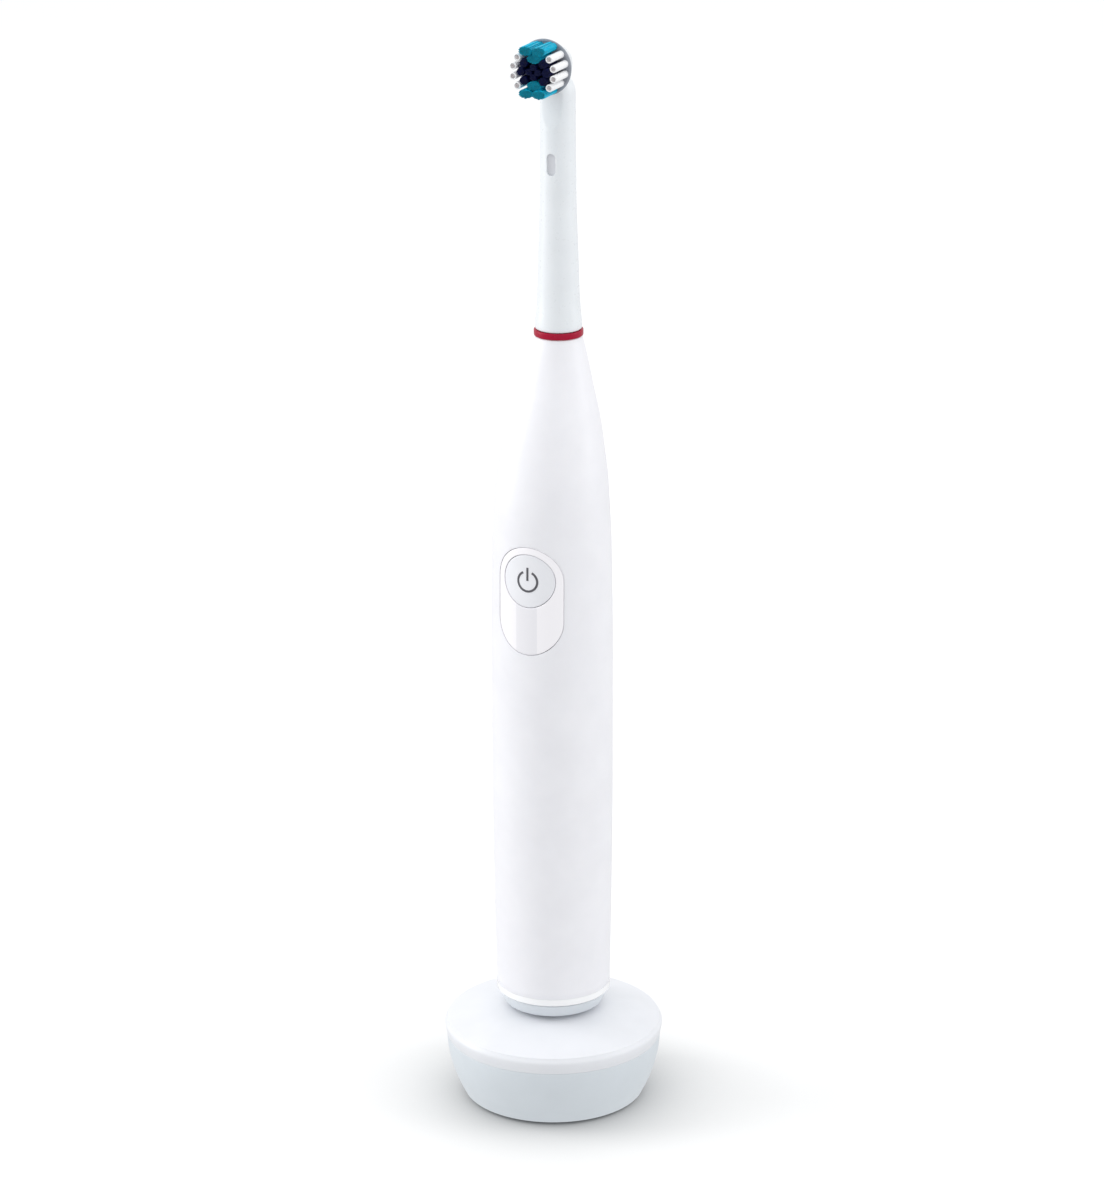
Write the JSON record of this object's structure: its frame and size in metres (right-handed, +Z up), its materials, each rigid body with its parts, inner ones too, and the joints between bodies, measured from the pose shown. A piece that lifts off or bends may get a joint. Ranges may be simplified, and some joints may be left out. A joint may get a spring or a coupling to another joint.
{
  "type": "electric toothbrush on charger",
  "caption": "White electric toothbrush with a round oscillating head, crimson ring and oval button panel, standing on a low round inductive charging base.",
  "frame": {"origin": "centre of the charger's foot, on the surface that it stands on", "axes": "+Z up along the toothbrush, the button, panel and bristles face -Y, +X to the right seen from the front"},
  "size_m": [0.0506, 0.0506, 0.2493],
  "materials": {
    "white_plastic": "satin",
    "base_grey": "satin",
    "cap_grey": "satin",
    "panel_gloss": "gloss",
    "button_grey": "satin",
    "crimson": "gloss",
    "disc_grey": "satin",
    "bristle_white": "satin",
    "bristle_teal": "satin",
    "bristle_navy": "satin",
    "rubber_dark": "matte",
    "nylon": "matte",
    "acetal_grey": "satin",
    "steel": "satin",
    "copper_wire": "satin",
    "bronze": "satin",
    "ferrite": "matte",
    "board_green": "satin",
    "black_part": "matte",
    "chassis_grey": "matte",
    "cell_green": "satin",
    "lamp_clear": "gloss"
  },
  "bodies": {
    "charger": {"charger_top_shell": "white_plastic", "charger_lower_shell": "base_grey", "charger_base_plate": "base_grey", "foot_ring": "rubber_dark", "charger_screw_1": "steel", "charger_screw_2": "steel", "charger_screw_3": "steel", "primary_bobbin": "nylon", "primary_coil": "copper_wire", "primary_core": "ferrite", "charger_circuit_board": "board_green", "charger_capacitor": "black_part", "charger_rectifier": "black_part", "cord_gland": "base_grey"},
    "handle": {"handle_shell": "white_plastic", "control_panel": "panel_gloss", "bottom_cap": "cap_grey", "bottom_seal": "rubber_dark", "secondary_bobbin": "nylon", "secondary_coil": "copper_wire", "inner_chassis": "chassis_grey", "battery_cell": "cell_green", "battery_contact_top": "steel", "battery_contact_bottom": "steel", "circuit_board": "board_green", "tact_switch": "black_part", "charge_lamp": "lamp_clear", "controller_chip": "black_part", "motor_can": "steel", "motor_end_cap": "nylon", "gear_frame": "acetal_grey", "gear_axle": "steel", "shaft_carrier": "acetal_grey", "shaft_bush": "bronze", "shaft_seal": "rubber_dark"},
    "button": {"power_button": "button_grey"},
    "rotor": {"motor_shaft": "steel", "motor_pinion": "nylon"},
    "gear": {"eccentric_gear": "acetal_grey"},
    "shaft": {"drive_shaft": "steel", "rocker_arm": "acetal_grey"},
    "head": {"brush_neck": "white_plastic", "colour_ring": "crimson", "neck_insert": "nylon", "pivot_pin": "steel"},
    "link": {"brush_link": "acetal_grey"},
    "disc": {"bristle_disc": "disc_grey", "tufts_white_left": "bristle_white", "tufts_white_right": "bristle_white", "tufts_teal_top": "bristle_teal", "tufts_teal_bottom": "bristle_teal", "tufts_navy": "bristle_navy"}
  },
  "joints": [
    {"name": "handle_lift", "type": "slide", "parent": "charger", "child": "handle", "axis": [0, 0, 1], "range_m": [0, 0.02]},
    {"name": "button_press", "type": "slide", "parent": "handle", "child": "button", "axis": [0, 1, 0], "range_m": [0, 0.0004], "stiffness_N_per_m": 1500},
    {"name": "gear_spin", "type": "hinge", "parent": "handle", "child": "gear", "pos_m": [0, 0.002, 0.1322], "axis": [0, 0, 1], "continuous": true},
    {"name": "rotor_spin", "type": "hinge", "parent": "handle", "child": "rotor", "pos_m": [0, -0.002, 0.132], "axis": [0, 0, 1], "continuous": true},
    {"name": "shaft_swing", "type": "hinge", "parent": "handle", "child": "shaft", "pos_m": [0, 0.0042, 0.136], "axis": [0, 0, 1], "range_deg": [-20, 20]},
    {"name": "head_pull", "type": "slide", "parent": "handle", "child": "head", "axis": [0, 0, 1], "range_m": [0, 0.026]},
    {"name": "link_swing", "type": "hinge", "parent": "head", "child": "link", "pos_m": [0, 0.0042, 0.19], "axis": [0, 0, 1], "range_deg": [-20, 20]},
    {"name": "disc_swing", "type": "hinge", "parent": "head", "child": "disc", "pos_m": [0, -0.0028, 0.2431], "axis": [0, 1, 0], "range_deg": [-24, 24]}
  ],
  "couplings": [
    {"joint": "rotor_spin", "follows": "gear_spin", "ratio": -3},
    {"joint": "link_swing", "follows": "shaft_swing", "ratio": 1},
    {"joint": "disc_swing", "follows": "shaft_swing", "ratio": -1.2}
  ]
}
